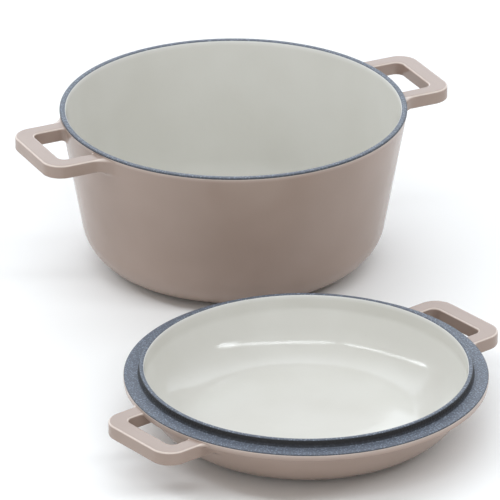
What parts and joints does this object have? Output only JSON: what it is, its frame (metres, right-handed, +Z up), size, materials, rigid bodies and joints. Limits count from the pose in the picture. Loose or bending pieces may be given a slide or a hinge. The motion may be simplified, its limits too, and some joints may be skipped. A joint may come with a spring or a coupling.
{
  "type": "cast iron bread pot",
  "caption": "Deep round enamelled cast iron bread pot with loop handles; its shallow pan lid with a locating ring lies upturned beside it and swings over to close the pot.",
  "frame": {"origin": "centre of the pot's flat base, on the surface it stands on", "axes": "+Z up along the pot's axis, +X along the line through the pot's two handles, +Y from the lid's side of the pot to its far side"},
  "size_m": [0.4049, 0.5378, 0.121],
  "materials": {
    "iron": "sand-cast grey iron, wholly under enamel",
    "taupe_enamel": "opaque gloss vitreous enamel, warm taupe",
    "cream_enamel": "opaque gloss vitreous enamel, cream white",
    "slate_enamel": "opaque matt ground-coat enamel, blue-grey, faintly pebbled"
  },
  "bodies": {
    "pot": {"pot_casting": "iron", "pot_outer_enamel": "taupe_enamel", "pot_base_enamel": "taupe_enamel", "pot_rim_enamel": "slate_enamel", "pot_inner_enamel": "cream_enamel"},
    "lid": {"lid_casting": "iron", "lid_outer_enamel": "taupe_enamel", "lid_base_enamel": "taupe_enamel", "lid_rim_enamel": "slate_enamel", "lid_inner_enamel": "cream_enamel"}
  },
  "joints": [
    {"name": "lid_flip", "type": "hinge", "parent": "pot", "child": "lid", "pos_m": [-0.03997, -0.13938, 0.08115], "axis": [-0.9613, 0.2756, 0], "range_deg": [0, 180]}
  ]
}
